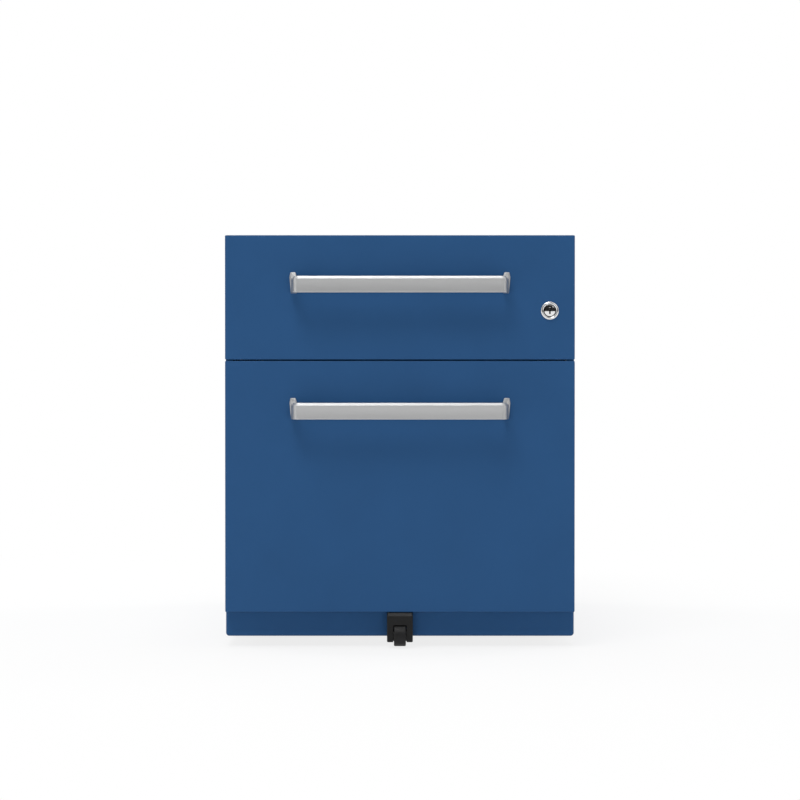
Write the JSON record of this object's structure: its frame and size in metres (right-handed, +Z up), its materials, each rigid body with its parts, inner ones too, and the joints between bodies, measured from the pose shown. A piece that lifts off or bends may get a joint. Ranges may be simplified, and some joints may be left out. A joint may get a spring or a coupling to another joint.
{
  "type": "rolling drawer cabinet",
  "caption": "Steel pedestal cabinet on hidden castors: a shallow drawer over a deep filing drawer on telescopic runners, with bow handles and a central lock.",
  "frame": {"origin": "centre of the bounding box on the floor under the cabinet", "axes": "+X to the right seen from the front, +Y from the drawer fronts to the back, +Z up"},
  "size_m": [0.42, 0.599, 0.495],
  "materials": {
    "blue_paint": "satin",
    "grey_paint": "satin",
    "zinc_steel": "satin",
    "runner_steel": "satin",
    "handle_silver": "satin",
    "lock_chrome": "polished",
    "black_plastic": "matte",
    "black_tread": "satin",
    "black_rubber": "matte"
  },
  "bodies": {
    "carcase": {"carcase_wrap": "blue_paint", "front_plinth": "blue_paint", "back_panel": "blue_paint", "base_pan": "blue_paint", "left_runner_uprights": "zinc_steel", "right_runner_uprights": "zinc_steel", "lock_bar_studs": "zinc_steel", "castor_stems": "zinc_steel", "castor_nuts": "zinc_steel", "upper_left_outer_member": "runner_steel", "upper_right_outer_member": "runner_steel", "lower_left_outer_member": "runner_steel", "lower_right_outer_member": "runner_steel"},
    "upper_drawer": {"upper_tray": "grey_paint", "upper_front": "blue_paint", "upper_handle": "handle_silver", "upper_handle_screws": "zinc_steel", "upper_bump_stops": "black_rubber", "upper_catch_stud": "zinc_steel", "lock_barrel": "lock_chrome", "lock_nut": "zinc_steel", "upper_left_inner_member": "runner_steel", "upper_right_inner_member": "runner_steel"},
    "lower_drawer": {"lower_tray": "grey_paint", "lower_front": "blue_paint", "lower_handle": "handle_silver", "lower_handle_screws": "zinc_steel", "lower_bump_stops": "black_rubber", "lower_catch_stud": "zinc_steel", "fifth_castor_housing": "black_plastic", "fifth_castor_screws": "zinc_steel", "fifth_castor_axle": "zinc_steel", "lower_left_inner_member": "runner_steel", "lower_right_inner_member": "runner_steel"},
    "lock_cylinder": {"lock_core": "lock_chrome", "lock_cam": "zinc_steel"},
    "lock_bar": {"lock_bar": "zinc_steel"},
    "fifth_wheel": {"fifth_castor_wheel": "black_tread"},
    "upper_intermediates": {"upper_left_intermediate_member": "runner_steel", "upper_right_intermediate_member": "runner_steel"},
    "upper_outer_cages": {"upper_outer_ball_cages": "runner_steel"},
    "upper_inner_cages": {"upper_inner_ball_cages": "runner_steel"},
    "lower_intermediates": {"lower_left_intermediate_member": "runner_steel", "lower_right_intermediate_member": "runner_steel"},
    "lower_outer_cages": {"lower_outer_ball_cages": "runner_steel"},
    "lower_inner_cages": {"lower_inner_ball_cages": "runner_steel"},
    "front_left_castor": {"front_left_castor_hood": "black_plastic"},
    "front_left_wheelset": {"front_left_castor_wheels": "black_tread", "front_left_castor_axle": "zinc_steel"},
    "front_right_castor": {"front_right_castor_hood": "black_plastic"},
    "front_right_wheelset": {"front_right_castor_wheels": "black_tread", "front_right_castor_axle": "zinc_steel"},
    "rear_left_castor": {"rear_left_castor_hood": "black_plastic"},
    "rear_left_wheelset": {"rear_left_castor_wheels": "black_tread", "rear_left_castor_axle": "zinc_steel"},
    "rear_right_castor": {"rear_right_castor_hood": "black_plastic"},
    "rear_right_wheelset": {"rear_right_castor_wheels": "black_tread", "rear_right_castor_axle": "zinc_steel"}
  },
  "joints": [
    {"name": "upper_drawer_slide", "type": "slide", "parent": "carcase", "child": "upper_drawer", "axis": [0, -1, 0], "range_m": [0, 0.48]},
    {"name": "upper_intermediates_slide", "type": "slide", "parent": "carcase", "child": "upper_intermediates", "axis": [0, -1, 0], "range_m": [0, 0.24]},
    {"name": "upper_outer_cages_slide", "type": "slide", "parent": "carcase", "child": "upper_outer_cages", "axis": [0, -1, 0], "range_m": [0, 0.12]},
    {"name": "upper_inner_cages_slide", "type": "slide", "parent": "carcase", "child": "upper_inner_cages", "axis": [0, -1, 0], "range_m": [0, 0.36]},
    {"name": "lower_drawer_slide", "type": "slide", "parent": "carcase", "child": "lower_drawer", "axis": [0, -1, 0], "range_m": [0, 0.48]},
    {"name": "lower_intermediates_slide", "type": "slide", "parent": "carcase", "child": "lower_intermediates", "axis": [0, -1, 0], "range_m": [0, 0.24]},
    {"name": "lower_outer_cages_slide", "type": "slide", "parent": "carcase", "child": "lower_outer_cages", "axis": [0, -1, 0], "range_m": [0, 0.12]},
    {"name": "lower_inner_cages_slide", "type": "slide", "parent": "carcase", "child": "lower_inner_cages", "axis": [0, -1, 0], "range_m": [0, 0.36]},
    {"name": "lock_turn", "type": "hinge", "parent": "upper_drawer", "child": "lock_cylinder", "pos_m": [0.1794, -0.2655, 0.4045], "axis": [0, -1, 0], "range_deg": [0, 90]},
    {"name": "lock_bar_lift", "type": "slide", "parent": "carcase", "child": "lock_bar", "axis": [0, 0, 1], "range_m": [0, 0.022]},
    {"name": "fifth_wheel_spin", "type": "hinge", "parent": "lower_drawer", "child": "fifth_wheel", "pos_m": [0, -0.2619, 0.0154], "axis": [1, 0, 0], "continuous": true},
    {"name": "front_left_castor_swivel", "type": "hinge", "parent": "carcase", "child": "front_left_castor", "pos_m": [-0.148, -0.1305, 0.055], "axis": [0, 0, 1], "continuous": true},
    {"name": "front_left_wheel_spin", "type": "hinge", "parent": "front_left_castor", "child": "front_left_wheelset", "pos_m": [-0.148, -0.1125, 0.02], "axis": [1, 0, 0], "continuous": true},
    {"name": "front_right_castor_swivel", "type": "hinge", "parent": "carcase", "child": "front_right_castor", "pos_m": [0.148, -0.1305, 0.055], "axis": [0, 0, 1], "continuous": true},
    {"name": "front_right_wheel_spin", "type": "hinge", "parent": "front_right_castor", "child": "front_right_wheelset", "pos_m": [0.148, -0.1125, 0.02], "axis": [1, 0, 0], "continuous": true},
    {"name": "rear_left_castor_swivel", "type": "hinge", "parent": "carcase", "child": "rear_left_castor", "pos_m": [-0.148, 0.2235, 0.055], "axis": [0, 0, 1], "continuous": true},
    {"name": "rear_left_wheel_spin", "type": "hinge", "parent": "rear_left_castor", "child": "rear_left_wheelset", "pos_m": [-0.148, 0.2415, 0.02], "axis": [1, 0, 0], "continuous": true},
    {"name": "rear_right_castor_swivel", "type": "hinge", "parent": "carcase", "child": "rear_right_castor", "pos_m": [0.148, 0.2235, 0.055], "axis": [0, 0, 1], "continuous": true},
    {"name": "rear_right_wheel_spin", "type": "hinge", "parent": "rear_right_castor", "child": "rear_right_wheelset", "pos_m": [0.148, 0.2415, 0.02], "axis": [1, 0, 0], "continuous": true}
  ],
  "couplings": [
    {"joint": "upper_intermediates_slide", "follows": "upper_drawer_slide", "ratio": 0.5},
    {"joint": "upper_outer_cages_slide", "follows": "upper_drawer_slide", "ratio": 0.25},
    {"joint": "upper_inner_cages_slide", "follows": "upper_drawer_slide", "ratio": 0.75},
    {"joint": "lower_intermediates_slide", "follows": "lower_drawer_slide", "ratio": 0.5},
    {"joint": "lower_outer_cages_slide", "follows": "lower_drawer_slide", "ratio": 0.25},
    {"joint": "lower_inner_cages_slide", "follows": "lower_drawer_slide", "ratio": 0.75},
    {"joint": "lock_turn", "follows": "lock_bar_lift", "rad_per_m": 71.4}
  ]
}
